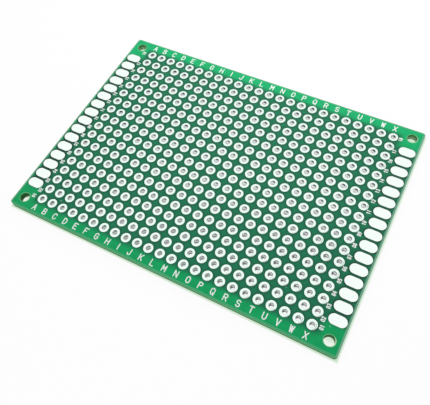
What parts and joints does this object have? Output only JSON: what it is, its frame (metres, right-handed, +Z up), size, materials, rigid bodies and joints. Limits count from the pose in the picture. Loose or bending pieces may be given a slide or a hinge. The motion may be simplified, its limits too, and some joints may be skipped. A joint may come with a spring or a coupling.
{
  "type": "prototype board",
  "caption": "Flat rectangular prototype board with a grid of tinned plated holes, long pads along both short edges and a mounting hole in each corner.",
  "frame": {"origin": "centre of the board, on the plane of its lowest faces", "axes": "+X along the long edge from column A to column X, +Y from row 01 to row 18, +Z up from the lettered face"},
  "size_m": [0.07, 0.05, 0.0017],
  "materials": {
    "laminate": "glass-epoxy laminate, pale and slightly translucent, with a dull cut edge",
    "solder_mask": "green solder mask, satin gloss",
    "tinned_copper": "solder-levelled copper, bright and slightly uneven",
    "legend_ink": "white printed ink, matt"
  },
  "bodies": {
    "root": {"substrate": "laminate", "solder_mask_top": "solder_mask", "solder_mask_bottom": "solder_mask", "plated_holes_a": "tinned_copper", "plated_holes_b": "tinned_copper", "plated_holes_c": "tinned_copper", "plated_holes_d": "tinned_copper", "plated_holes_e": "tinned_copper", "plated_holes_f": "tinned_copper", "plated_holes_g": "tinned_copper", "plated_holes_h": "tinned_copper", "plated_holes_i": "tinned_copper", "plated_holes_j": "tinned_copper", "plated_holes_k": "tinned_copper", "plated_holes_l": "tinned_copper", "plated_holes_m": "tinned_copper", "plated_holes_n": "tinned_copper", "plated_holes_o": "tinned_copper", "plated_holes_p": "tinned_copper", "plated_holes_q": "tinned_copper", "plated_holes_r": "tinned_copper", "plated_holes_s": "tinned_copper", "plated_holes_t": "tinned_copper", "plated_holes_u": "tinned_copper", "plated_holes_v": "tinned_copper", "plated_holes_w": "tinned_copper", "plated_holes_x": "tinned_copper", "edge_pads_left_top": "tinned_copper", "edge_pads_right_top": "tinned_copper", "edge_pads_left_bottom": "tinned_copper", "edge_pads_right_bottom": "tinned_copper"}
  },
  "joints": []
}
